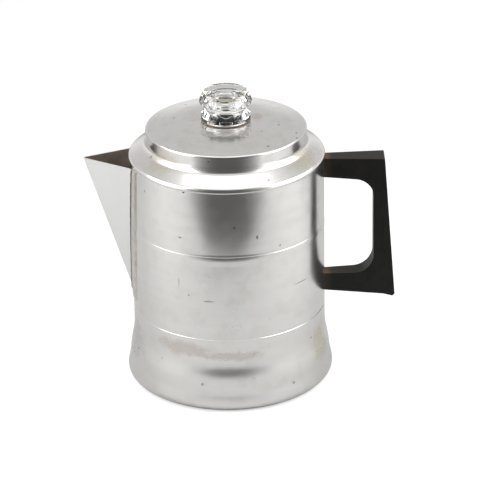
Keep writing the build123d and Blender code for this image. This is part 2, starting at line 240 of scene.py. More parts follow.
def turned(
    name: str,
    section: Sequence[Point],
    steps: int,
    crease: float = 40.0,
    shape: Optional[Callable[[int, float, float, float], Point]] = None,
) -> bpy.types.Object:
    """Turn a closed section about the pot's axis.

    Args:
        name: Name of the piece.
        section: Closed loop of (radius, height).
        steps: Number of steps round the axis.
        crease: Edges that turn more than this many degrees stay sharp.
        shape: Gives a changed (radius, height) from point number, radius, height and angle.

    Returns:
        The turned object.
    """
    vertices, faces = [], []
    count = len(section)
    for step in range(steps):
        angle = 2 * math.pi * step / steps
        for i, (radius, height) in enumerate(section):
            r, z = shape(i, radius, height, angle) if shape else (radius, height)
            vertices.append((r * math.cos(angle), r * math.sin(angle), z))
    for step in range(steps):
        a, b = step * count, (step + 1) % steps * count
        for i in range(count):
            j = (i + 1) % count
            corners = [a + i, b + i, b + j, a + j]
            if section[i][0] == 0 and section[j][0] == 0:
                continue
            faces.append(corners)
    return new_piece(name, vertices, faces, crease)


def cut(piece: bpy.types.Object, tools: Sequence[bpy.types.Object]) -> None:
    """Cut tools out of a piece and remove them.

    Args:
        piece: Object that is cut.
        tools: Closed objects to cut away.
    """
    for tool in tools:
        change = piece.modifiers.new("cut", "BOOLEAN")
        change.operation, change.object, change.solver = "DIFFERENCE", tool, "EXACT"
        graph = bpy.context.evaluated_depsgraph_get()
        graph.update()
        made = bpy.data.meshes.new_from_object(piece.evaluated_get(graph))
        piece.modifiers.clear()
        piece.data = made
        bpy.data.objects.remove(tool)


def pegs(name: str, points: Sequence[Point], radius: float, start_x: float, end_x: float) -> bpy.types.Object:
    """Make round pegs along X, all in one object, to cut holes with.

    Args:
        name: Name of the object.
        points: Centre (y, z) of each peg.
        radius: Radius of each peg.
        start_x: X of one end.
        end_x: X of the other end.

    Returns:
        The object with all pegs.
    """
    vertices, faces, steps = [], [], 20
    for y, z in points:
        base = len(vertices)
        for x in (start_x, end_x):
            for k in range(steps):
                a = 2 * math.pi * k / steps
                vertices.append((x, y + radius * math.cos(a), z + radius * math.sin(a)))
        for k in range(steps):
            after = (k + 1) % steps
            faces.append([base + k, base + after, base + steps + after, base + steps + k])
        faces.append([base + k for k in range(steps)][::-1])
        faces.append([base + steps + k for k in range(steps)])
    return new_piece(name, vertices, faces, 30)


def span(node: str) -> tuple[Vector, Vector]:
    """Lowest and highest corner of a frame node, in millimetres."""
    low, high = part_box(node)
    return low / MM, high / MM


def settle(
    piece: bpy.types.Object, body: Body, stands_for: str, finish: bpy.types.Material
) -> None:
    """Give a rebuilt piece its finish and its body, and hide the frame node that it stands for.

    Args:
        piece: The rebuilt piece.
        body: Body that it rides on.
        stands_for: Frame node that it replaces.
        finish: Its material.
    """
    piece.data.materials.clear()
    piece.data.materials.append(finish)
    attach(piece, body.value)
    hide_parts(stands_for)
    log.info("built %s, which stands for %s", piece.name, stands_for)


# ---------------------------------------------------------------------------
# Shader building
# ---------------------------------------------------------------------------
class Shader:
    """Adds nodes to one node tree and links them."""

    def __init__(self, tree: bpy.types.NodeTree) -> None:
        """Keep the tree that is worked on."""
        self.tree = tree

    def add(self, kind: str, **settings: object) -> bpy.types.Node:
        """Add a node.

        Args:
            kind: Node type.
            **settings: Values of the node's own properties.

        Returns:
            The new node.
        """
        node = self.tree.nodes.new(kind)
        for name, value in settings.items():
            setattr(node, name, value)
        return node

    def feed(self, socket: Socket, value: object) -> None:
        """Link a socket into another, or set its number.

        Args:
            socket: Input socket.
            value: Output socket, number or tuple.
        """
        if isinstance(value, bpy.types.NodeSocket):
            self.tree.links.new(value, socket)
        else:
            socket.default_value = value

    def math(self, operation: str, a: Value, b: Value = 0.0, c: Value = 0.0, clamp: bool = False) -> Socket:
        """Combine numbers.

        Args:
            operation: Name of the operation.
            a: First number.
            b: Second number.
            c: Third number.
            clamp: Whether the result stays in 0 to 1.

        Returns:
            The result socket.
        """
        node = self.add("ShaderNodeMath", operation=operation, use_clamp=clamp)
        for socket, value in zip(node.inputs, (a, b, c)):
            self.feed(socket, value)
        return node.outputs[0]

    def ramp(self, value: Value, low: Value, high: Value, start: float = 0.0, end: float = 1.0) -> Socket:
        """Map a number smoothly from one range to another.

        Args:
            value: Number to map.
            low: Where the result is start.
            high: Where the result is end.
            start: Result at low.
            end: Result at high.

        Returns:
            The mapped socket.
        """
        node = self.add("ShaderNodeMapRange", interpolation_type="SMOOTHSTEP", clamp=True)
        names = ("Value", "From Min", "From Max", "To Min", "To Max")
        for name, number in zip(names, (value, low, high, start, end)):
            self.feed(node.inputs[name], number)
        return node.outputs["Result"]

    def vector(self, operation: str, a: object, b: object = (0.0, 0.0, 0.0)) -> bpy.types.Node:
        """Combine vectors and return the node."""
        node = self.add("ShaderNodeVectorMath", operation=operation)
        self.feed(node.inputs[0], a)
        self.feed(node.inputs[1], b)
        return node

    def blend(self, share: Value, a: object, b: object, mode: str = "MIX") -> Socket:
        """Blend two colours.

        Args:
            share: 0 for the first, 1 for the second.
            a: First colour.
            b: Second colour.
            mode: Blend mode.

        Returns:
            The blended colour socket.
        """
        node = self.add("ShaderNodeMix", data_type="RGBA", blend_type=mode)
        self.feed(node.inputs[0], share)
        self.feed(node.inputs[6], as_rgba(a))
        self.feed(node.inputs[7], as_rgba(b))
        return node.outputs[2]

    def noise(self, vector: Socket, scale: Value, detail: float = 2.0, rough: float = 0.5) -> Socket:
        """Sample a noise at a place.

        Args:
            vector: Place.
            scale: Scale of the noise.
            detail: Number of finer layers.
            rough: Strength of the finer layers.

        Returns:
            The noise value socket.
        """
        node = self.add("ShaderNodeTexNoise")
        self.feed(node.inputs["Vector"], vector)
        self.feed(node.inputs["Scale"], scale)
        self.feed(node.inputs["Detail"], detail)
        self.feed(node.inputs["Roughness"], rough)
        return node.outputs["Fac"]

    def place(self) -> Socket:
        """Place on the piece, in the pot's frame."""
        return self.add("ShaderNodeTexCoord").outputs["Object"]

    def split(self, vector: Socket) -> Sequence[Socket]:
        """Split a vector into its x, y and z."""
        node = self.add("ShaderNodeSeparateXYZ")
        self.feed(node.inputs[0], vector)
        return node.outputs

    def join(self, x: Value = 0.0, y: Value = 0.0, z: Value = 0.0) -> Socket:
        """Join x, y and z into a vector."""
        node = self.add("ShaderNodeCombineXYZ")
        for socket, value in zip(node.inputs, (x, y, z)):
            self.feed(socket, value)
        return node.outputs[0]

    def off_axis(self, parts: Sequence[Socket]) -> Socket:
        """Distance of a split place from the pot's axis."""
        return self.vector("LENGTH", self.join(parts[0], parts[1])).outputs["Value"]

    def mask(self, tree: bpy.types.NodeTree, **values: object) -> Socket:
        """Place a node group with its own values and give its Mask."""
        return self.group(tree, **values).outputs["Mask"]

    def bump(self, height: Socket, strength: float = 1.0) -> Socket:
        """Turn a relief in metres into a normal."""
        node = self.add("ShaderNodeBump")
        for name, value in (("Strength", strength), ("Distance", 1.0), ("Height", height)):
            self.feed(node.inputs[name], value)
        return node.outputs[0]

    def coat(self, surface: bpy.types.Node, colour: Socket, rough: Socket, normal: Socket) -> None:
        """Give a surface its colour, roughness and normal."""
        for name, value in (("Base Color", colour), ("Roughness", rough), ("Normal", normal)):
            self.feed(surface.inputs[name], value)

    def group(self, tree: bpy.types.NodeTree, **values: object) -> bpy.types.Node:
        """Place a node group with its own values.

        Args:
            tree: The group.
            **values: Input values by name, with _ for a space.

        Returns:
            The group node.
        """
        node = self.add("ShaderNodeGroup", node_tree=tree)
        for name, value in values.items():
            self.feed(node.inputs[name.replace("_", " ")], value)
        return node


def as_rgba(colour: object) -> object:
    """Add a full alpha to a plain colour, and leave a socket as it is."""
    if isinstance(colour, bpy.types.NodeSocket):
        return colour
    return (*colour, 1.0)


def new_group(
    name: str, inputs: Sequence[tuple[str, str, object]], outputs: Sequence[str]
) -> tuple[Shader, bpy.types.Node, bpy.types.Node]:
    """Start a shader node group with named sockets.

    Args:
        name: Name of the group.
        inputs: Name, socket kind and default of each input.
        outputs: Names of the value outputs.

    Returns:
        The group's shader, its input node and its output node.
    """
    tree = bpy.data.node_groups.new(name, "ShaderNodeTree")
    for label, kind, default in inputs:
        socket = tree.interface.new_socket(name=label, in_out="INPUT", socket_type=kind)
        socket.default_value = default
    for label in outputs:
        tree.interface.new_socket(name=label, in_out="OUTPUT", socket_type="NodeSocketFloat")
    shader = Shader(tree)
    return shader, shader.add("NodeGroupInput"), shader.add("NodeGroupOutput")


class Effects:
    """Surface effects that several finishes share, each a node group."""

    def __init__(self) -> None:
        """Build every group once."""
        self.spun = self.spun_lines()
        self.blotch = self.blotches()
        self.scratch = self.hair_scratches()
        self.pit = self.pits()
        self.patch = self.local_patch()

    @staticmethod
    def spun_lines() -> bpy.types.NodeTree:
        """Fine rings left by spinning, about the pot's axis, as Height and broader Tone."""
        s, start, end = new_group(
            "spun_lines",
            [("Lines", "NodeSocketFloat", 1500.0), ("Wander", "NodeSocketFloat", 12.0)],
            ["Height", "Tone"],
        )
        place = s.place()
        parts = s.split(place)
        radius = s.off_axis(parts)
        drift = s.math("MULTIPLY", parts[0], start.outputs["Wander"])
        other_drift = s.math("MULTIPLY", parts[1], start.outputs["Wander"])
        for label, share, detail in (("Height", 1.0, 2.0), ("Tone", 0.12, 3.0)):
            lines = s.math("MULTIPLY", start.outputs["Lines"], share)
            spread = s.join(s.math("MULTIPLY", radius, lines), s.math("MULTIPLY", parts[2], lines), drift)
            texture = s.add("ShaderNodeTexNoise", noise_dimensions="4D")
            for name, value in (("Vector", spread), ("W", other_drift), ("Scale", 1.0), ("Detail", detail)):
                s.feed(texture.inputs[name], value)
            s.feed(end.inputs[label], texture.outputs["Fac"])
        return s.tree

    @staticmethod
    def blotches() -> bpy.types.NodeTree:
        """Soft irregular blotches as Mask."""
        s, start, end = new_group(
            "blotches",
            [
                ("Size", "NodeSocketFloat", 0.02),
                ("Cover", "NodeSocketFloat", 0.3),
                ("Softness", "NodeSocketFloat", 0.1),
                ("Seed", "NodeSocketFloat", 0.0),
            ],
            ["Mask"],
        )
        moved = s.vector("ADD", s.place(), s.join(start.outputs["Seed"])).outputs[0]
        grain = s.noise(moved, s.math("DIVIDE", 1.0, start.outputs["Size"]), 5.0, 0.6)
        edge = s.math("SUBTRACT", 0.68, s.math("MULTIPLY", start.outputs["Cover"], 0.36))
        low = s.math("SUBTRACT", edge, start.outputs["Softness"])
        high = s.math("ADD", edge, start.outputs["Softness"])
        s.feed(end.inputs["Mask"], s.ramp(grain, low, high))
        return s.tree

    @staticmethod
    def hair_scratches() -> bpy.types.NodeTree:
        """Short fine scratches in one direction as Mask."""
        s, start, end = new_group(
            "hair_scratches",
            [
                ("Length", "NodeSocketFloat", 0.02),
                ("Width", "NodeSocketFloat", 0.0004),
                ("Share", "NodeSocketFloat", 0.2),
                ("Turn", "NodeSocketVector", (0.0, 0.0, 0.0)),
            ],
            ["Mask"],
        )
        place = s.place()
        spin = s.add("ShaderNodeVectorRotate", rotation_type="EULER_XYZ")
        s.feed(spin.inputs["Vector"], place)
        s.feed(spin.inputs["Rotation"], start.outputs["Turn"])
        across = s.math("DIVIDE", 1.0, start.outputs["Width"])
        spread = s.join(s.math("DIVIDE", 1.0, start.outputs["Length"]), across, across)
        grain = s.noise(s.vector("MULTIPLY", spin.outputs[0], spread).outputs[0], 1.0, 1.0, 0.4)
        edge = s.math("SUBTRACT", 0.86, s.math("MULTIPLY", start.outputs["Share"], 0.3))
        s.feed(end.inputs["Mask"], s.ramp(grain, edge, s.math("ADD", edge, 0.05)))
        return s.tree

    @staticmethod
    def pits() -> bpy.types.NodeTree:
        """Scattered small pits as Mask."""
        s, start, end = new_group(
            "pits", [("Size", "NodeSocketFloat", 0.003), ("Share", "NodeSocketFloat", 0.1)], ["Mask"]
        )
        place = s.place()
        cell = s.add("ShaderNodeTexVoronoi")
        s.feed(cell.inputs["Vector"], place)
        s.feed(cell.inputs["Scale"], s.math("DIVIDE", 1.0, start.outputs["Size"]))
        tone = s.add("ShaderNodeSeparateColor")
        s.feed(tone.inputs[0], cell.outputs["Color"])
        chosen = s.math("LESS_THAN", tone.outputs[0], start.outputs["Share"])
        reach = s.math("MULTIPLY", tone.outputs[1], 0.22)
        low, high = s.math("ADD", reach, 0.04), s.math("ADD", reach, 0.12)
        near = s.ramp(cell.outputs["Distance"], low, high, 1.0, 0.0)
        s.feed(end.inputs["Mask"], s.math("MULTIPLY", chosen, near))
        return s.tree

    @staticmethod
    def local_patch() -> bpy.types.NodeTree:
        """One ragged patch round a point as Mask."""
        s, start, end = new_group(
            "local_patch",
            [
                ("Centre", "NodeSocketVector", (0.0, 0.0, 0.0)),
                ("Reach", "NodeSocketVector", (0.01, 0.01, 0.01)),
                ("Softness", "NodeSocketFloat", 0.4),
                ("Ragged", "NodeSocketFloat", 0.6),
                ("Grain", "NodeSocketFloat", 300.0),
            ],
            ["Mask"],
        )
        place = s.place()
        away = s.vector("SUBTRACT", place, start.outputs["Centre"]).outputs[0]
        scaled = s.vector("DIVIDE", away, start.outputs["Reach"]).outputs[0]
        distance = s.vector("LENGTH", scaled).outputs["Value"]
        grain = s.math("SUBTRACT", s.noise(place, start.outputs["Grain"], 4.0, 0.6), 0.5)
        ragged = s.math("MULTIPLY_ADD", grain, s.math("MULTIPLY", start.outputs["Ragged"], 2.0), distance)
        low = s.math("SUBTRACT", 1.0, start.outputs["Softness"])
        high = s.math("ADD", 1.0, start.outputs["Softness"])
        s.feed(end.inputs["Mask"], s.ramp(ragged, low, high, 1.0, 0.0))
        return s.tree


# ---------------------------------------------------------------------------
# Finishes
# ---------------------------------------------------------------------------
@dataclass(frozen=True)
class Mark:
    """One stain, pit or rubbed place on a surface, in millimetres.

    Attributes:
        centre: Middle of the mark.
        reach: Half size along each axis.
        colour: Colour at its middle.
        strength: Share of that colour.
        rougher: Added roughness.
        softness: Width of the fade, as a share of the reach.
        ragged: How uneven the edge is.
        grain: Fineness of the uneven edge.
        depth: How deep the mark is sunk.
    """

    centre: Triple
    reach: Triple
    colour: Colour
    strength: float = 0.6
    rougher: float = 0.0
    softness: float = 0.4
    ragged: float = 0.6
    grain: float = 300.0
    depth: float = 0.0


def new_material(name: str) -> tuple[bpy.types.Material, Shader, bpy.types.Node]:
    """Start a material with a Principled surface.

    Args:
        name: Name of the material.

    Returns:
        The material, its shader and its surface node.
    """
    material = bpy.data.materials.new(name)
    material.use_nodes = True
    shader = Shader(material.node_tree)
    return material, shader, material.node_tree.nodes["Principled BSDF"]


@dataclass(frozen=True)
class SpunAluminium:
    """Satin aluminium with spinning lines, stains, hair scratches and pits."""

    colour: Colour = (0.80, 0.795, 0.785)
    stain: Colour = (0.52, 0.46, 0.37)
    stained: float = 0.25
    stain_cover: float = 0.25
    roughness: float = 0.22
    uneven: float = 0.10
    lengthwise: float = 0.7
    lines: float = 1400.0
    line_depth: float = 0.002
    line_tone: float = 0.06
    pitted: float = 0.05
    scratched: float = 0.12
    marks: tuple[Mark, ...] = ()

    def material(self, name: str, effects: Effects) -> bpy.types.Material:
        """Build the finish.

        Args:
            name: Name of the material.
            effects: The shared effects.

        Returns:
            The material.
        """
        made, s, surface = new_material(name)
        spun = s.group(effects.spun, Lines=self.lines)
        wide = s.mask(effects.blotch, Size=0.035, Cover=0.5, Softness=0.16, Seed=3.0)
        film = s.mask(effects.blotch, Size=0.012, Cover=self.stain_cover, Softness=0.10, Seed=11.0)
        hair = s.mask(
            effects.scratch, Length=0.012, Width=0.00035, Share=self.scratched, Turn=(0.4, 0.9, 0.3)
        )
        low_hair = s.mask(
            effects.scratch, Length=0.02, Width=0.0003, Share=self.scratched, Turn=(1.2, 0.2, 1.0)
        )
        pit = s.mask(effects.pit, Size=0.0045, Share=self.pitted)
        scored = s.math("MAXIMUM", hair, low_hair)
        tone = s.math("MULTIPLY_ADD", spun.outputs["Tone"], 2 * self.line_tone, 1.0 - self.line_tone)
        shade = s.add("ShaderNodeCombineColor")
        for socket, level in zip(shade.inputs[:3], self.colour):
            s.feed(socket, s.math("MULTIPLY", tone, level))
        colour = s.blend(s.math("MULTIPLY", film, self.stained), shade.outputs[0], self.stain)
        rough = s.math("MULTIPLY_ADD", wide, self.uneven, self.roughness - self.uneven / 2)
        rough = s.math("MULTIPLY_ADD", film, self.stained * 0.25, rough)
        height = s.math("MULTIPLY", spun.outputs["Height"], self.line_depth * MM)
        for mark in self.marks:
            mask = s.mask(
                effects.patch,
                Centre=tuple(v * MM for v in mark.centre),
                Reach=tuple(v * MM for v in mark.reach),
                Softness=mark.softness,
                Ragged=mark.ragged,
                Grain=mark.grain,
            )
            colour = s.blend(s.math("MULTIPLY", mask, mark.strength), colour, mark.colour)
            rough = s.math("MULTIPLY_ADD", mask, mark.rougher, rough)
            if mark.depth:
                height = s.math("MULTIPLY_ADD", mask, -mark.depth * MM, height)
        colour = s.blend(s.math("MULTIPLY", pit, 0.55), colour, (0.12, 0.11, 0.10))
        colour = s.blend(s.math("MULTIPLY", scored, 0.25), colour, (0.45, 0.44, 0.43))
        height = s.math("MULTIPLY_ADD", pit, -0.03 * MM, height)
        height = s.math("MULTIPLY_ADD", scored, -0.004 * MM, height)
        s.coat(surface, colour, s.math("MAXIMUM", rough, 0.05), s.bump(height))
        surface.inputs["Metallic"].default_value = 1.0
        if self.lengthwise:
            surface.inputs["Anisotropic"].default_value = self.lengthwise
            tangent = s.add("ShaderNodeTangent", direction_type="RADIAL", axis="Z")
            s.feed(surface.inputs["Tangent"], tangent.outputs[0])
        return made


@dataclass(frozen=True)
class PlainMetal:
    """Turned or pressed metal of the small fittings."""

    colour: Colour
    tarnish: Colour
    roughness: float = 0.3
    tarnished: float = 0.3
    lines: float = 2500.0

    def material(self, name: str, effects: Effects) -> bpy.types.Material:
        """Build the finish.

        Args:
            name: Name of the material.
            effects: The shared effects.

        Returns:
            The material.
        """
        made, s, surface = new_material(name)
        spun = s.group(effects.spun, Lines=self.lines)
        film = s.mask(effects.blotch, Size=0.004, Cover=0.4, Softness=0.14, Seed=5.0)
        pit = s.mask(effects.pit, Size=0.002, Share=0.05)
        colour = s.blend(s.math("MULTIPLY", film, self.tarnished), self.colour, self.tarnish)
        colour = s.blend(s.math("MULTIPLY", pit, 0.5), colour, (0.08, 0.07, 0.06))
        relief = s.math("MULTIPLY", spun.outputs["Height"], 0.003 * MM)
        rough = s.math("MULTIPLY_ADD", film, 0.18, self.roughness)
        s.coat(surface, colour, rough, s.bump(relief))
        surface.inputs["Metallic"].default_value = 1.0
        return made


@dataclass(frozen=True)
class Phenolic:
    """Black moulded phenolic, dulled and browned where it faces up."""

    colour: Colour = (0.004, 0.004, 0.004)
    dulled: Colour = (0.016, 0.013, 0.010)
    scorched: Colour = (0.20, 0.10, 0.04)
    roughness: float = 0.36
    wall_r: float = 76.0

    def material(self, name: str, effects: Effects) -> bpy.types.Material:
        """Build the finish.

        Args:
            name: Name of the material.
            effects: The shared effects.

        Returns:
            The material.
        """
        made, s, surface = new_material(name)
        place = s.add("ShaderNodeTexCoord")
        facing = s.split(place.outputs["Normal"])
        where = s.split(place.outputs["Object"])
        up = s.ramp(facing[2], 0.80, 0.97)
        worn = s.mask(effects.blotch, Size=0.009, Cover=0.75, Softness=0.2, Seed=2.0)
        cloud = s.mask(effects.blotch, Size=0.02, Cover=0.5, Softness=0.25, Seed=7.0)
        hair = s.mask(effects.scratch, Length=0.01, Width=0.0003, Share=0.25, Turn=(0.1, 0.3, 0.2))
        grain = s.noise(place.outputs["Object"], 2600.0, 3.0, 0.6)
        edge = s.add("ShaderNodeAttribute", attribute_name="edge_wear").outputs["Fac"]
        dull = s.math("MULTIPLY", up, s.math("MULTIPLY_ADD", worn, 0.45, 0.55))
        colour = s.blend(s.math("MULTIPLY", cloud, 0.35), self.colour, (0.012, 0.012, 0.012))
        colour = s.blend(dull, colour, self.dulled)
        near = s.ramp(where[0], (self.wall_r + 1.0) * MM, (self.wall_r + 7.0) * MM, 1.0, 0.0)
        heat = s.math("MULTIPLY", s.math("MULTIPLY", near, worn), s.math("MULTIPLY_ADD", up, 0.55, 0.12))
        colour = s.blend(heat, colour, self.scorched)
        rubbed = s.math("MULTIPLY", s.math("MULTIPLY", edge, worn), 0.35)
        colour = s.blend(rubbed, colour, (0.022, 0.020, 0.018))
        colour = s.blend(s.math("MULTIPLY", hair, 0.35), colour, (0.030, 0.029, 0.027))
        rough = s.math("MULTIPLY_ADD", dull, 0.18, self.roughness)
        rough = s.math("MULTIPLY_ADD", cloud, 0.08, rough)
        height = s.math("MULTIPLY", grain, 0.006 * MM)
        relief = s.math("MULTIPLY_ADD", hair, -0.01 * MM, height)
        s.coat(surface, colour, rough, s.bump(relief, 0.7))
        surface.inputs["Specular IOR Level"].default_value = 0.20
        return made


@dataclass(frozen=True)
class MouldedGlass:
    """Clear pressed glass with a trace of coffee in its creases."""

    colour: Colour = (0.97, 0.98, 0.975)
    coffee: Colour = (0.50, 0.34, 0.17)
    rim_z: float = 236.9
    rim_r: float = 17.0

    def material(self, name: str, effects: Effects) -> bpy.types.Material:
        """Build the finish.

        Args:
            name: Name of the material.
            effects: The shared effects.

        Returns:
            The material.
        """
        made, s, surface = new_material(name)
        place = s.place()
        parts = s.split(place)
        radius = s.off_axis(parts)
        off_rim = s.math("ABSOLUTE", s.math("SUBTRACT", parts[2], self.rim_z * MM))
        at_rim = s.ramp(off_rim, 0.25 * MM, 0.8 * MM, 1.0, 0.0)
        outer = s.ramp(radius, (self.rim_r - 0.9) * MM, (self.rim_r - 0.3) * MM)
        patchy = s.mask(effects.blotch, Size=0.006, Cover=0.95, Softness=0.15, Seed=9.0)
        film = s.math("MULTIPLY", s.math("MULTIPLY", at_rim, outer), patchy)
        ripple = s.noise(place, 140.0, 2.0, 0.5)
        relief = s.math("MULTIPLY", ripple, 0.12 * MM)
        rough = s.math("MULTIPLY_ADD", film, 0.3, 0.02)
        colour = s.blend(film, self.colour, self.coffee)
        s.coat(surface, colour, rough, s.bump(relief, 0.5))
        surface.inputs["Metallic"].default_value = 0.0
        surface.inputs["Transmission Weight"].default_value = 1.0
        surface.inputs["IOR"].default_value = 1.5
        return made


@dataclass(frozen=True)
class Rubber:
    """Old seal rubber, browned by coffee."""

    colour: Colour = (0.20, 0.11, 0.045)
    dark: Colour = (0.05, 0.03, 0.02)
    roughness: float = 0.55

    def material(self, name: str, effects: Effects) -> bpy.types.Material:
        """Build the finish.

        Args:
            name: Name of the material.
            effects: The shared effects.

        Returns:
            The material.
        """
        made, s, surface = new_material(name)
        film = s.mask(effects.blotch, Size=0.005, Cover=0.5, Softness=0.2, Seed=1.0)
        place = s.place()
        relief = s.math("MULTIPLY", s.noise(place, 900.0, 3.0, 0.6), 0.02 * MM)
        rough = s.math("MULTIPLY_ADD", film, 0.15, self.roughness)
        colour = s.blend(film, self.colour, self.dark)
        s.coat(surface, colour, rough, s.bump(relief, 0.6))
        return made


# ---------------------------------------------------------------------------
# Pot shell
# ---------------------------------------------------------------------------
@dataclass
class Swell:
    """A slight ring-shaped swelling left by the spinning tool."""

    height: float
    reach: float
    proud: float

    def at(self, z: float) -> float:
        """How far the swell stands proud at a height."""
        return self.proud * math.exp(-(((z - self.height) / self.reach) ** 2))


@dataclass
class PotShell:
    """The spun pot with its flared foot, bead, shoulder and neck."""

    body_r: float = 76.0
    body_h: float = 184.0
    wall: float = 1.3
    flare_h: float = 41.0
    flare_growth: float = 7.0
    foot_corner_r: float = 6.5
    flare_blend_r: float = 60.0
    bead_step: float = 0.8
    bead_rise: float = 3.2
    bead_radii: Point = (0.6, 0.4)
    shoulder_corner_r: float = 3.5
    neck_inset: float = 14.0
    neck_h: float = 11.0
    neck_blend_r: float = 7.5
    groove_width: float = 0.7
    groove_depth: float = 0.2
    grooves: tuple[float, ...] = (60.3, 130.9)
    steps: int = 320
    swells: tuple[Swell, ...] = (
        Swell(127.6, 2.6, 0.16),
        Swell(61.5, 5.0, 0.04),
        Swell(27.5, 6.0, 0.20),
        Swell(15.5, 4.6, -0.24),
    )
    strainer_pitch: float = 8.0
    strainer_hole_r: float = 1.6
    strainer_margin: float = 4.0
    screw_hole_r: float = 2.2
    screw_head_r: float = 3.8
    spout_tail: float = 1.5
    spout_half_angle: float = 29.0
    spout_fold_r: float = 2.2
    spout_root_drop: float = 1.3
    marks: tuple[Mark, ...] = (
        Mark((-41.4, -66.1, 50.0), (26.0, 14.0, 5.5), (0.55, 0.47, 0.40), 0.45, 0.12, 0.5, 1.0, 120.0),
        Mark((2.0, -79.0, 46.0), (34.0, 10.0, 3.4), (0.50, 0.44, 0.38), 0.45, 0.12, 0.5, 0.9, 140.0),
        Mark((72.0, -30.0, 36.0), (9.0, 13.0, 16.0), (0.60, 0.52, 0.36), 0.55, 0.10, 0.5, 0.9, 90.0),
        Mark((-76.0, -24.0, 38.0), (10.0, 14.0, 14.0), (0.52, 0.49, 0.45), 0.40, 0.12, 0.5, 0.9, 110.0),
        Mark((-48.0, -40.0, 196.0), (16.0, 16.0, 9.0), (0.60, 0.53, 0.38), 0.45, 0.08, 0.5, 0.9, 90.0),
        Mark((58.0, -34.0, 193.0), (16.0, 16.0, 6.0), (0.60, 0.53, 0.36), 0.50, 0.08, 0.5, 0.9, 90.0),
        Mark((-33.3, -68.3, 182.8), (0.9, 0.9, 0.7), (0.10, 0.09, 0.08), 0.8, 0.2, 0.3, 0.5, 900.0, 0.08),
        Mark((-36.8, -66.5, 144.5), (1.4, 1.4, 0.9), (0.25, 0.24, 0.22), 0.7, 0.2, 0.4, 0.8, 700.0, 0.05),
        Mark((22.0, -72.7, 146.4), (0.8, 0.8, 1.6), (0.18, 0.17, 0.16), 0.8, 0.2, 0.3, 0.5, 700.0, 0.06),
        Mark((39.6, -64.9, 135.5), (0.7, 0.7, 0.8), (0.20, 0.19, 0.18), 0.8, 0.2, 0.3, 0.5, 700.0, 0.05),
        Mark((-16.0, -74.2, 93.4), (4.6, 1.6, 0.5), (0.30, 0.29, 0.28), 0.7, 0.1, 0.4, 0.5, 500.0, 0.04),
        Mark((-38.6, -65.4, 106.0), (0.5, 0.6, 4.2), (0.45, 0.44, 0.43), 0.6, 0.1, 0.4, 0.5, 500.0, 0.03),
        Mark((7.4, -75.6, 77.6), (9.0, 6.0, 12.0), (0.86, 0.88, 0.90), 0.20, 0.06, 0.5, 1.2, 160.0),
        Mark((-11.8, -75.1, 108.0), (6.0, 6.0, 12.0), (0.86, 0.88, 0.90), 0.20, 0.06, 0.5, 1.2, 160.0),
        Mark((56.0, -50.5, 98.0), (9.0, 9.0, 0.45), (0.20, 0.20, 0.22), 0.55, 0.1, 0.4, 0.3, 300.0, 0.05),
    )

    def outline(self) -> list[Point]:
        """Outer face of the sheet from the floor's middle to the rim."""
        bead_r = self.body_r + self.bead_step
        bead_top = self.body_h + self.bead_rise
        neck_r = self.body_r - self.neck_inset
        _, high = span("pot_body")
        rim_z = high.z
        corners = [
            (0.0, 0.0),
            (self.body_r + self.flare_growth, 0.0),
            (self.body_r, self.flare_h),
            (self.body_r, self.body_h),
            (bead_r, self.body_h + self.bead_step),
            (bead_r, bead_top),
            (neck_r, rim_z - self.neck_h),
            (neck_r, rim_z),
        ]
        radii = [self.foot_corner_r, self.flare_blend_r, *self.bead_radii]
        radii += [self.shoulder_corner_r, self.neck_blend_r]
        smooth = divided(rounded(corners, radii, 3.0), 1.6)
        half = self.groove_width / 2
        out = []
        for r, z in smooth:
            if r < self.body_r - 1 or z < 1.0 or any(abs(z - g) < half + 0.3 for g in self.grooves):
                out.append((r, z))
            else:
                out.append((r + sum(swell.at(z) for swell in self.swells), z))
        for groove in self.grooves:
            out = [p for p in out if abs(p[1] - groove) > half + 0.2 or p[0] < self.body_r - 1]
            at = next(i for i, (r, z) in enumerate(out) if z > groove and r > self.body_r - 1)
            r = self.body_r + sum(swell.at(groove) for swell in self.swells)
            depth = self.groove_depth
            ring = [(-half, 0.0), (-half * 0.5, -depth), (half * 0.5, -depth), (half, 0.0)]
            out[at:at] = [(r + dr, groove + dz) for dz, dr in ring]
        return out

    def strainer_points(self) -> list[Point]:
        """Hole centres (y, z) behind the spout."""
        low, high = span("spout")
        half_angle = math.radians(self.spout_half_angle)
        sharp_x = low.x - self.spout_fold_r * (1 / math.sin(half_angle) - 1)
        root_z, apex_z = self.body_h - self.spout_root_drop, low.z + self.spout_tail
        turn = math.asin(-sharp_x * math.sin(half_angle) / self.body_r) - half_angle
        root_half = self.body_r * math.sin(turn)
        points = []
        rows = int((root_z - apex_z - 3 * self.strainer_pitch) / self.strainer_pitch)
        for row in range(rows + 1):
            z = apex_z + (row + 2) * self.strainer_pitch
            half = root_half * (z - apex_z) / (root_z - apex_z) - self.strainer_margin
            side = max(0, int(half / self.strainer_pitch))
            points += [(k * self.strainer_pitch, z) for k in range(-side, side + 1)]
        return points

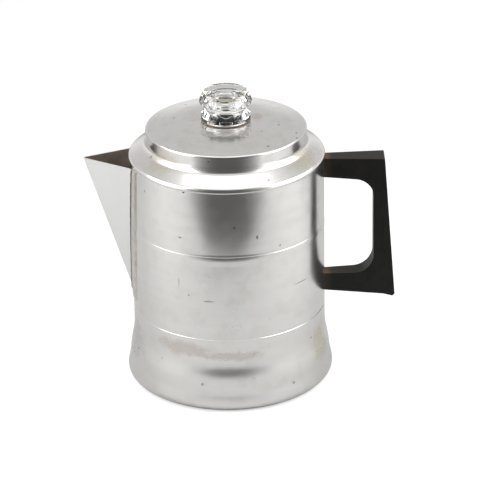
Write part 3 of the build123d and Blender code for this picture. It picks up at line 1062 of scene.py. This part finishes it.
    def build(self, effects: Effects) -> bpy.types.Object:
        """Build and dress the shell.

        Args:
            effects: The shared effects.

        Returns:
            The finished piece.
        """
        outline = self.outline()
        section = sheet_outline(outline, self.wall, Side.LEFT)
        shell = turned("pot_shell", section, self.steps, 30)
        through, inside = self.body_r + 4, self.body_r - 12
        low, high = span("handle_screws")
        mid = [(0.0, low.z + self.screw_head_r), (0.0, high.z - self.screw_head_r)]
        cut(
            shell,
            [
                pegs("strainer_pegs", self.strainer_points(), self.strainer_hole_r, -through, -inside),
                pegs("screw_pegs", mid, self.screw_hole_r, inside, through),
            ],
        )
        shade_smooth(shell, 30)
        finish = SpunAluminium(
            colour=(0.80, 0.79, 0.775),
            roughness=0.19,
            uneven=0.05,
            lengthwise=0.5,
            stained=0.12,
            stain_cover=0.3,
            pitted=0.02,
            marks=self.marks,
        )
        settle(shell, Body.POT, "pot_body", finish.material("pot_spun", effects))
        return shell


# ---------------------------------------------------------------------------
# Spout
# ---------------------------------------------------------------------------
@dataclass
class Spout:
    """The weld bead round the spout and the finish of its folded sheet."""

    body_r: float = 76.0
    sheet: float = 1.0
    half_angle: float = 29.0
    fold_r: float = 2.2
    tail: float = 1.5
    bead_r: float = 0.6
    bead_lift: float = 0.15
    bead_aside: float = 0.3
    bead_steps: int = 170

    def bead_path(self) -> list[Vector]:
        """Points along the crease between the folded panels and the flanges, over both sides."""
        low, high = span("spout")
        _, weld_high = span("spout_weld")
        half = math.radians(self.half_angle)
        sharp_x = low.x - self.fold_r * (1 / math.sin(half) - 1)
        tip_z, apex_z = high.z, low.z + self.tail
        slant = (-self.body_r - low.x) / (tip_z - apex_z)
        wall = self.body_r + self.sheet + self.bead_lift
        top_z = weld_high.z - self.bead_r
        side = []
        count = self.bead_steps // 2
        for i in range(count + 1):
            z = apex_z + 1.0 + (top_z - apex_z - 1.0) * i / count
            edge = sharp_x + slant * (tip_z - z)
            turn = math.asin(min(1.0, -edge * math.sin(half) / wall)) - half
            side.append(Vector((-wall * math.cos(turn), wall * math.sin(turn) + self.bead_aside, z)))
        other = [Vector((p.x, -p.y, p.z)) for p in side]
        bottom = Vector((-wall, 0.0, apex_z + 0.4))
        return other[::-1] + [bottom] + side

    def bead(self, effects: Effects) -> bpy.types.Object:
        """Build the uneven weld bead.

        Args:
            effects: The shared effects.

        Returns:
            The finished piece.
        """
        path = self.bead_path()
        rings, faces, steps = [], [], 10
        for i, point in enumerate(path):
            ahead = path[min(len(path) - 1, i + 1)] - path[max(0, i - 1)]
            along = ahead.normalized()
            out = Vector((point.x, point.y, 0.0)).normalized()
            out = (out - along * out.dot(along)).normalized()
            across = along.cross(out)
            wobble = noise.noise(point * 0.33) * 0.30 + noise.noise(point * 1.1 + Vector((7, 3, 1))) * 0.28
            lean = noise.noise(point * 0.22 + Vector((2, 9, 4))) * 0.55
            taper = min(1.0, 0.35 + min(i, len(path) - 1 - i) * 0.25)
            radius = self.bead_r * (1.0 + wobble) * taper
            for k in range(steps):
                a = 2 * math.pi * k / steps
                aside = lean * taper + radius * 1.25 * math.cos(a)
                rings.append(point + across * aside + out * (radius * 0.8 * math.sin(a)))
        for i in range(len(path) - 1):
            for k in range(steps):
                a, b = i * steps + k, i * steps + (k + 1) % steps
                faces.append([a, b, b + steps, a + steps])
        faces.append(list(range(steps))[::-1])
        faces.append([(len(path) - 1) * steps + k for k in range(steps)])
        piece = new_piece("weld_bead", [tuple(v) for v in rings], faces, 60)
        finish = SpunAluminium(
            colour=(0.40, 0.375, 0.35),
            stain=(0.13, 0.10, 0.08),
            stained=0.8,
            stain_cover=0.7,
            roughness=0.42,
            lengthwise=0.0,
            lines=900.0,
            pitted=0.3,
        )
        settle(piece, Body.POT, "spout_weld", finish.material("weld_dark", effects))
        return piece

    def build(self, frame: dict, effects: Effects) -> None:
        """Dress the folded sheet and build the weld.

        Args:
            frame: The loaded frame.
            effects: The shared effects.
        """
        self.bead(effects)
        finish = SpoutSheet(wall_r=self.body_r)
        dress(frame, "spout", finish.material("spout_sheet", effects))


@dataclass(frozen=True)
class SpoutSheet:
    """Rolled sheet, clean outside, browned inside the spout, and darkened along its flanges by coffee stain
    and by painted shade in the seam where the spout meets the pot wall.
    """

    colour: Colour = (0.83, 0.83, 0.825)
    inside: Colour = (0.16, 0.12, 0.095)
    # Flange colour: coffee stain together with painted shade in the seam between spout and pot wall.
    flange_stain_and_shade: Colour = (0.56, 0.51, 0.46)
    roughness: float = 0.34
    wall_r: float = 76.0

    def material(self, name: str, effects: Effects) -> bpy.types.Material:
        """Build the finish.

        Args:
            name: Name of the material.
            effects: The shared effects.

        Returns:
            The material.
        """
        made, s, surface = new_material(name)
        place = s.add("ShaderNodeTexCoord")
        parts = s.split(place.outputs["Object"])
        facing = s.split(place.outputs["Normal"])
        radius = s.off_axis(parts)
        on_flange = s.ramp(radius, (self.wall_r + 1.3) * MM, (self.wall_r + 1.6) * MM, 1.0, 0.0)
        side = s.math("SIGN", parts[1])
        inward = s.math("MULTIPLY", s.math("MULTIPLY", side, facing[1]), -1.0)
        not_edge = s.ramp(facing[2], 0.3, 0.6, 1.0, 0.0)
        inner = s.math("MULTIPLY", s.ramp(inward, 0.25, 0.5), not_edge)
        inner = s.math("MULTIPLY", inner, s.math("SUBTRACT", 1.0, on_flange))
        mottled = s.mask(effects.blotch, Size=0.02, Cover=0.6, Softness=0.2, Seed=4.0)
        film = s.mask(effects.blotch, Size=0.008, Cover=0.45, Softness=0.14, Seed=8.0)
        hair = s.mask(effects.scratch, Length=0.012, Width=0.0004, Share=0.1, Turn=(0.2, 1.1, 0.4))
        colour = s.blend(s.math("MULTIPLY", mottled, 0.06), self.colour, (0.70, 0.69, 0.66))
        # Darken the flanges: partly coffee stain, partly painted shade in the seam where the spout meets the
        # pot wall.
        stained = s.math("MULTIPLY", on_flange, s.math("MULTIPLY_ADD", film, 0.4, 0.5))
        colour = s.blend(stained, colour, self.flange_stain_and_shade)
        brown = s.blend(mottled, self.inside, (0.30, 0.24, 0.19))
        colour = s.blend(s.math("MULTIPLY", inner, 0.92), colour, brown)
        colour = s.blend(s.math("MULTIPLY", hair, 0.2), colour, (0.5, 0.5, 0.5))
        rough = s.math("MULTIPLY_ADD", mottled, 0.06, self.roughness)
        rough = s.math("MULTIPLY_ADD", inner, 0.12, rough)
        rolled = s.vector("MULTIPLY", place.outputs["Object"], (300.0, 300.0, 2400.0)).outputs[0]
        grain = s.noise(rolled, 1.0, 3.0, 0.6)
        relief = s.math("MULTIPLY", grain, 0.004 * MM)
        s.coat(surface, colour, rough, s.bump(relief))
        surface.inputs["Metallic"].default_value = 1.0
        return made


def dress(frame: dict, node: str, finish: bpy.types.Material) -> None:
    """Give a frame node its finish.

    Args:
        frame: The loaded frame.
        node: Name of the node.
        finish: Its material.
    """
    piece = frame["nodes"][node]
    piece.data.materials.clear()
    piece.data.materials.append(finish)
    log.info("dressed %s in %s", node, finish.name)


# ---------------------------------------------------------------------------
# Handle
# ---------------------------------------------------------------------------
@dataclass
class Handle:
    """The moulded side handle with its finger opening and hanging heel."""

    root_x: float = 75.2
    grip_in_x: float = 114.4
    top_x: float = 123.2
    heel_x: float = 131.3
    heel_drop: float = 1.8
    heel_w: float = 9.0
    heel_fall: float = 3.1
    upper_arm: float = 15.8
    upper_fall: float = 2.7
    lower_arm: float = 14.3
    lower_rise: float = 1.2
    top_corner_r: float = 14.5
    low_corner_r: float = 16.0
    root_t: float = 12.5
    outer_t: float = 19.4
    edge_r: float = 1.1

    def outline(self) -> list[Point]:
        """Closed side outline (x, z), from the upper root clockwise."""
        low, high = span("handle")
        top_z, heel_tip_z = high.z, low.z
        heel_z = heel_tip_z + self.heel_drop
        low_z = heel_z + self.heel_fall
        outer = rounded(
            [
                (self.root_x, top_z),
                (self.top_x, top_z),
                (self.heel_x, heel_z),
                (self.heel_x - self.heel_drop, heel_tip_z),
                (self.heel_x - self.heel_w, heel_z),
                (self.root_x, low_z),
            ],
            [1.2, 0.5, 0.8, 6.0],
            12.0,
        )
        opening = rounded(
            [
                (self.root_x, low_z + self.lower_arm),
                (self.grip_in_x, low_z + self.lower_arm + self.lower_rise),
                (self.grip_in_x, top_z - self.upper_arm - self.upper_fall),
                (self.root_x, top_z - self.upper_arm),
            ],
            [self.low_corner_r, self.top_corner_r],
            5.0,
        )
        return outer + opening

    def build(self, effects: Effects) -> bpy.types.Object:
        """Build and dress the handle.

        Args:
            effects: The shared effects.

        Returns:
            The finished piece.
        """
        outline = self.outline()
        slope = (self.outer_t - self.root_t) / 2 / (self.heel_x - self.root_x)
        count = len(outline)
        vertices = []
        for sign in (-1, 1):
            for x, z in outline:
                vertices.append((x, sign * (self.root_t / 2 + slope * (x - self.root_x)), z))
        faces: list[list[int]] = [list(range(count)), [count + i for i in range(count)][::-1]]
        faces += [[i, (i + 1) % count, count + (i + 1) % count, count + i] for i in range(count)]
        piece = new_piece("handle_moulding", vertices, faces, 30)
        work = bmesh.new()
        work.from_mesh(piece.data)
        edges = []
        for edge in work.edges:
            caps = [f for f in edge.link_faces if len(f.verts) > 6]
            away = max(v.co.x for v in edge.verts) > (self.root_x + 0.5) * MM
            if len(caps) == 1 and away:
                edges.append(edge)
        made = bmesh.ops.bevel(
            work,
            geom=edges,
            offset=self.edge_r * MM,
            segments=5,
            profile=0.5,
            affect="EDGES",
            clamp_overlap=True,
        )
        layer = work.verts.layers.float.new("edge_wear")
        for face in made["faces"]:
            for vertex in face.verts:
                vertex[layer] = 1.0
        bmesh.ops.triangulate(work, faces=[f for f in work.faces if len(f.verts) > 4])
        work.to_mesh(piece.data)
        work.free()
        shade_smooth(piece, 35)
        level = piece.modifiers.new("even_shading", "WEIGHTED_NORMAL")
        level.keep_sharp = True
        settle(piece, Body.POT, "handle", Phenolic().material("black_phenolic", effects))
        return piece


# ---------------------------------------------------------------------------
# Lid and knob
# ---------------------------------------------------------------------------
@dataclass
class Lid:
    """The lid's spun cover with its falling rim and folded hem."""

    sheet: float = 1.0
    slope: float = 12.0
    flat_r: float = 24.2
    bend_r: float = 113.0
    edge_r: float = 1.7
    hem_h: float = 1.2
    hole_r: float = 16.7
    steps: int = 288
    marks: tuple[Mark, ...] = (
        Mark((-44.6, -42.1, 213.6), (0.9, 0.9, 2.0), (0.16, 0.08, 0.05), 0.8, 0.1, 0.3, 0.6, 900.0),
        Mark((-33.0, -49.5, 213.6), (9.0, 5.0, 3.0), (0.52, 0.38, 0.28), 0.40, 0.1, 0.5, 1.4, 420.0),
        Mark((-15.0, -57.5, 213.6), (8.0, 3.0, 3.0), (0.52, 0.38, 0.28), 0.30, 0.1, 0.5, 1.4, 420.0),
        Mark((27.0, -62.5, 213.6), (4.5, 0.9, 3.0), (0.22, 0.24, 0.30), 0.65, 0.0, 0.4, 0.8, 500.0),
        Mark((24.0, 4.0, 214.1), (4.0, 6.0, 1.5), (0.52, 0.43, 0.33), 0.55, 0.1, 0.5, 0.9, 300.0),
        Mark((42.2, -20.5, 214.1), (0.8, 1.6, 1.0), (0.30, 0.28, 0.26), 0.6, 0.1, 0.4, 0.8, 600.0, 0.03),
        Mark((-24.0, 8.0, 214.1), (5.0, 10.0, 1.5), (0.62, 0.55, 0.46), 0.30, 0.1, 0.5, 1.2, 220.0),
    )

    def build(self, effects: Effects) -> bpy.types.Object:
        """Build and dress the cover.

        Args:
            effects: The shared effects.

        Returns:
            The finished piece.
        """
        low, high = span("lid")
        edge_r, top_z, hem_z = high.x, high.z, low.z
        slope = math.radians(self.slope)
        bend_mid_r = self.flat_r + self.bend_r * math.tan(slope / 2)
        corners = [
            (self.hole_r, top_z),
            (bend_mid_r, top_z),
            (edge_r, top_z - (edge_r - bend_mid_r) * math.tan(slope)),
            (edge_r, hem_z),
        ]
        outer = divided(rounded(corners, [self.bend_r, self.edge_r], 1.0), 3.0)
        in_r = edge_r - self.sheet
        inner = sheet_outline(outer, self.sheet, Side.RIGHT)[len(outer) :]
        hem_in = edge_r - 2 * self.sheet
        hem = [
            (in_r, hem_z),
            (hem_in + 0.15, hem_z + 0.1),
            (hem_in, hem_z + 0.4),
            (hem_in, hem_z + self.hem_h),
            (in_r, hem_z + self.hem_h),
        ]
        rising = [p for p in inner[1:] if p[0] < hem_in - 0.1]
        piece = turned("lid_cover", outer + hem + rising, self.steps, 35)
        finish = SpunAluminium(
            colour=(0.76, 0.75, 0.73),
            roughness=0.17,
            uneven=0.05,
            lengthwise=0.0,
            stained=0.18,
            stain_cover=0.3,
            pitted=0.05,
            lines=1800.0,
            line_depth=0.0015,
            marks=self.marks,
        )
        settle(piece, Body.LID, "lid", finish.material("lid_spun", effects))
        return piece


@dataclass
class Knob:
    """The pressed-glass knob: round foot, waist and a crown with nine flat faces."""

    height: float = 22.6
    base_r: float = 19.4
    base_h: float = 4.2
    waist_r: float = 14.6
    waist_h: float = 8.8
    crown_r: float = 21.0
    crown_h: float = 14.6
    top_r: float = 17.3
    bore_r: float = 9.5
    bore_h: float = 14.5
    spigot_r: float = 13.4
    lug_r: float = 16.2
    lug_t: float = 2.0
    lug_span: float = 40.0
    faces: int = 9
    face_low_r: float = 19.9
    face_top_r: float = 16.7
    steps: int = 216

    def build(self, effects: Effects) -> bpy.types.Object:
        """Build and dress the knob.

        Args:
            effects: The shared effects.

        Returns:
            The finished piece.
        """
        low, high = span("glass_knob")
        top_z, low_z = high.z, low.z
        foot_z = top_z - self.height
        outer = rounded(
            [
                (self.spigot_r, low_z),
                (self.spigot_r, foot_z),
                (self.base_r, foot_z),
                (self.base_r, foot_z + self.base_h),
                (self.waist_r, foot_z + self.waist_h),
                (self.crown_r, foot_z + self.crown_h),
                (self.top_r, top_z),
                (0.0, top_z),
            ],
            [0.3, 0.8, 1.8, 2.4, 2.2, 0.7],
            7.0,
        )
        outer = divided(outer, 1.1)
        bore = rounded(
            [
                (0.0, foot_z + self.bore_h),
                (self.bore_r, foot_z + self.bore_h),
                (self.bore_r, low_z),
                (self.spigot_r, low_z),
            ],
            [4.5, 0.6],
            7.0,
        )
        section = outer + divided(bore, 2.0)[:-1]
        step = 2 * math.pi / self.faces
        fall = (self.face_low_r - self.face_top_r) / (top_z - foot_z - self.crown_h)
        lug_top = low_z + self.lug_t
        count = len(outer)

        def shape(index: int, radius: float, height: float, angle: float) -> Point:
            """Flatten the crown's faces and push out the lugs."""
            if index < count and height > foot_z + self.waist_h:
                off = (angle + math.pi / 2 + step / 2) % step - step / 2
                flat = self.face_low_r + (foot_z + self.crown_h - height) * fall
                return min(radius, flat / math.cos(off)), height
            turn = abs((math.degrees(angle) + 90) % 180 - 90)
            on_spigot = index < count and height <= lug_top and radius > self.spigot_r - 0.5
            if on_spigot and turn < self.lug_span / 2:
                return self.lug_r, height
            return radius, height

        piece = turned("knob_glass", section, self.steps, 24, shape)
        finish = MouldedGlass(rim_z=top_z - 0.6, rim_r=self.top_r)
        settle(piece, Body.KNOB, "glass_knob", finish.material("clear_glass", effects))
        return piece


# ---------------------------------------------------------------------------
# Inner works
# ---------------------------------------------------------------------------
@dataclass
class InnerWorks:
    """Finishes of the fastenings and of the pump, basket and spreader."""

    aluminium: Colour = (0.74, 0.73, 0.71)
    coffee: Colour = (0.34, 0.24, 0.15)

    def build(self, frame: dict, effects: Effects) -> None:
        """Dress every frame node that stays.

        Args:
            frame: The loaded frame.
            effects: The shared effects.
        """
        drawn = SpunAluminium(
            colour=self.aluminium,
            stain=self.coffee,
            stained=0.55,
            stain_cover=0.45,
            roughness=0.3,
            lengthwise=0.5,
        )
        pierced = SpunAluminium(
            colour=self.aluminium,
            stain=self.coffee,
            stained=0.45,
            stain_cover=0.4,
            roughness=0.33,
            lengthwise=0.6,
        )
        collar = SpunAluminium(
            colour=(0.70, 0.69, 0.67), stain=self.coffee, stained=0.5, stain_cover=0.4, roughness=0.3
        )
        steel = PlainMetal((0.60, 0.60, 0.60), (0.33, 0.27, 0.21), 0.32, 0.4)
        brass = PlainMetal((0.72, 0.54, 0.26), (0.34, 0.22, 0.10), 0.35, 0.5)
        washer = PlainMetal((0.74, 0.73, 0.71), (0.40, 0.34, 0.27), 0.35, 0.4)
        pump = ("pump_tube", "pump_foot", "tube_ferrule", "valve_cage", "basket_stop")
        finishes = {
            "drawn_aluminium": (drawn, pump),
            "pierced_aluminium": (pierced, ("basket_shell", "basket_sleeve", "spreader_plate")),
            "collar_aluminium": (collar, ("lid_collar",)),
            "turned_steel": (steel, ("handle_screws", "knob_retainer", "pump_valve")),
            "turned_brass": (brass, ("handle_inserts",)),
            "washer_metal": (washer, ("handle_washers",)),
            "seal_rubber": (Rubber(), ("knob_gasket",)),
        }
        for name, (finish, nodes) in finishes.items():
            made = finish.material(name, effects)
            for node in nodes:
                dress(frame, node, made)


# ---------------------------------------------------------------------------
# Studio
# ---------------------------------------------------------------------------
@dataclass
class Studio:
    """Pale table, soft lights, surroundings and camera, in metres and degrees."""

    table_front: float = -0.352
    table_side: float = 2.2
    table_back: float = 2.6
    camera_distance: float = 2.28
    camera_aim_z: float = 0.0603
    camera_elevation: float = 25.93
    camera_yaw: float = 0.26
    camera_pitch: float = 1.15
    camera_roll: float = -1.0
    lens: float = 214.3

    def table(self) -> None:
        """Lay the table top, which reads as even white where no shadow falls."""
        corners = [
            (-self.table_side, self.table_front, 0.0),
            (self.table_side, self.table_front, 0.0),
            (self.table_side, self.table_back, 0.0),
            (-self.table_side, self.table_back, 0.0),
        ]
        mesh = bpy.data.meshes.new("table_top")
        mesh.from_pydata(corners, [], [[0, 1, 2, 3]])
        top = bpy.data.objects.new("table_top", mesh)
        bpy.context.scene.collection.objects.link(top)
        material, s, surface = new_material("table_paint")
        surface.inputs["Base Color"].default_value = (0.47, 0.47, 0.468, 1.0)
        surface.inputs["Roughness"].default_value = 0.9
        surface.inputs["Specular IOR Level"].default_value = 0.0
        glow = s.add("ShaderNodeEmission")
        s.feed(glow.inputs["Color"], (1.0, 1.0, 1.0, 1.0))
        ray = s.add("ShaderNodeLightPath")
        s.feed(glow.inputs["Strength"], s.math("MULTIPLY", ray.outputs["Is Camera Ray"], 0.52))
        both = s.add("ShaderNodeAddShader")
        s.feed(both.inputs[0], surface.outputs[0])
        s.feed(both.inputs[1], glow.outputs[0])
        s.feed(material.node_tree.nodes["Material Output"].inputs["Surface"], both.outputs[0])
        mesh.materials.append(material)

    def surroundings(self) -> None:
        """Paint the room round the table: dark ahead, bright at the sides and above, grey behind."""
        world = bpy.data.worlds.new("studio")
        bpy.context.scene.world = world
        world.use_nodes = True
        s = Shader(world.node_tree)
        back = world.node_tree.nodes["Background"]
        x, y, z = s.split(s.add("ShaderNodeTexCoord").outputs["Generated"])
        level = s.math("SQRT", s.math("ADD", s.math("MULTIPLY", x, x), s.math("MULTIPLY", y, y)))
        ahead = s.math("DIVIDE", s.math("MULTIPLY", y, -1.0), s.math("MAXIMUM", level, 0.01))
        side = s.math("MULTIPLY", s.ramp(ahead, 0.55, 0.72, 1.0, 0.0), s.ramp(ahead, -0.35, 0.10))
        front = s.ramp(ahead, 0.58, 0.98)
        behind = s.ramp(ahead, -0.55, -0.05, 1.0, 0.0)
        glow = s.math("MULTIPLY_ADD", side, 0.95, 0.66)
        glow = s.math("MULTIPLY_ADD", front, -0.56, glow)
        low_back = s.ramp(z, 0.05, 0.30, 0.25, 0.0)
        glow = s.math("MULTIPLY_ADD", behind, low_back, glow)
        overhead = s.ramp(z, 0.72, 0.92)
        mixed = s.math("MULTIPLY_ADD", overhead, s.math("SUBTRACT", 0.90, glow), glow)
        ray = s.add("ShaderNodeLightPath").outputs["Is Camera Ray"]
        final = s.math("MULTIPLY_ADD", ray, s.math("SUBTRACT", 1.0, mixed), mixed)
        s.feed(back.inputs["Color"], (1.0, 1.0, 1.0, 1.0))
        s.feed(back.inputs["Strength"], final)

    def soft_box(
        self, name: str, place: Triple, size: Point, power: float, aim: Triple = (0.0, 0.0, 0.09)
    ) -> None:
        """Hang one soft box.

        Args:
            name: Name of the light.
            place: Position in metres.
            size: Width and height in metres.
            power: Power in watts.
            aim: Point that it faces, in metres.
        """
        light = bpy.data.lights.new(name, "AREA")
        light.shape, light.size, light.size_y, light.energy = "RECTANGLE", size[0], size[1], power
        lamp = bpy.data.objects.new(name, light)
        bpy.context.scene.collection.objects.link(lamp)
        lamp.location = place
        lamp.rotation_mode = "QUATERNION"
        lamp.rotation_quaternion = (Vector(aim) - Vector(place)).to_track_quat("-Z", "Y")

    def lights(self) -> None:
        """Hang the soft boxes at both sides and above."""
        self.soft_box("left_box", (-1.25, -0.62, 0.75), (0.55, 0.9), 5.0)
        self.soft_box("right_box", (1.35, -0.25, 0.75), (0.6, 0.9), 5.0)
        self.soft_box("left_low_box", (-0.46, -0.14, 0.34), (0.3, 0.5), 1.5, (-0.40, -0.12, 0.0))
        self.soft_box("right_low_box", (0.46, -0.10, 0.34), (0.3, 0.5), 1.6, (0.40, -0.08, 0.0))
        self.soft_box("top_box", (0.0, 0.25, 1.6), (1.2, 1.0), 3.2)

    def camera(self) -> None:
        """Stand the camera in front of the pot, looking down at it."""
        elevation = math.radians(self.camera_elevation)
        yaw, roll = math.radians(self.camera_yaw), math.radians(self.camera_roll)
        down = elevation - math.radians(self.camera_pitch)
        forward = Vector((math.sin(yaw) * math.cos(down), math.cos(yaw) * math.cos(down), -math.sin(down)))
        right = forward.cross(Vector((0, 0, 1))).normalized()
        up = right.cross(forward)
        across = right * math.cos(roll) + up * math.sin(roll)
        upward = up * math.cos(roll) - right * math.sin(roll)
        data = bpy.data.cameras.new("camera")
        data.lens, data.sensor_width = self.lens, 36.0
        data.clip_start, data.clip_end = 0.05, 50.0
        camera = bpy.data.objects.new("camera", data)
        bpy.context.scene.collection.objects.link(camera)
        turn = Matrix((across, upward, -forward)).transposed().to_4x4()
        place = Vector(
            (
                0.0,
                -self.camera_distance * math.cos(elevation),
                self.camera_distance * math.sin(elevation) + self.camera_aim_z,
            )
        )
        camera.matrix_world = Matrix.Translation(place) @ turn
        bpy.context.scene.camera = camera

    def build(self) -> None:
        """Set up the whole studio."""
        self.table()
        self.surroundings()
        self.lights()
        self.camera()
        bpy.context.scene.view_settings.view_transform = "Standard"
        log.info("set up the studio")


def main() -> None:
    """Build every sub-assembly round the frame."""
    logging.basicConfig(level=logging.INFO, format="%(name)s: %(message)s")
    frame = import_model()
    effects = Effects()
    PotShell().build(effects)
    Spout().build(frame, effects)
    Handle().build(effects)
    Lid().build(effects)
    Knob().build(effects)
    InnerWorks().build(frame, effects)
    Studio().build()


if __name__ == "__main__":
    main()
